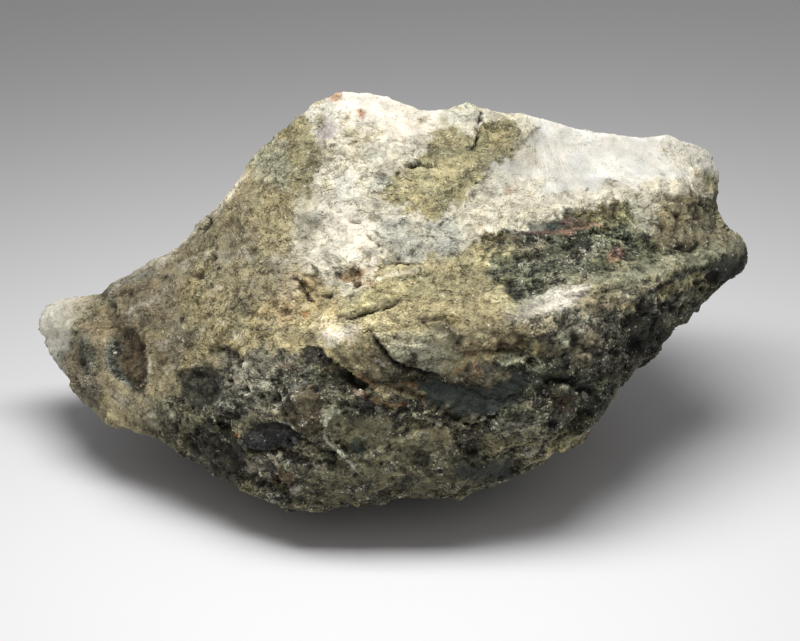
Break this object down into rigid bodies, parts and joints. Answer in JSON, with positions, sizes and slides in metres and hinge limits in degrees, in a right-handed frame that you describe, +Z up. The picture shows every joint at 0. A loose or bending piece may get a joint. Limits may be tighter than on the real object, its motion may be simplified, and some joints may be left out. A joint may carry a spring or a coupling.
{
  "type": "pectolite specimen",
  "caption": "Hand-sized broken mineral specimen: a white, silky vein crust over dark greenish rock, resting on a small flat spot.",
  "frame": {"origin": "middle of the bounding box in X and Y, on the ground that the flat spot rests on", "axes": "+Z up, +X to the right along the specimen's length, -Y towards the viewer of the display side"},
  "size_m": [0.1257, 0.0674, 0.0633],
  "materials": {
    "stone": "matte"
  },
  "bodies": {
    "root": {"pectolite_rock": "stone"}
  },
  "joints": []
}
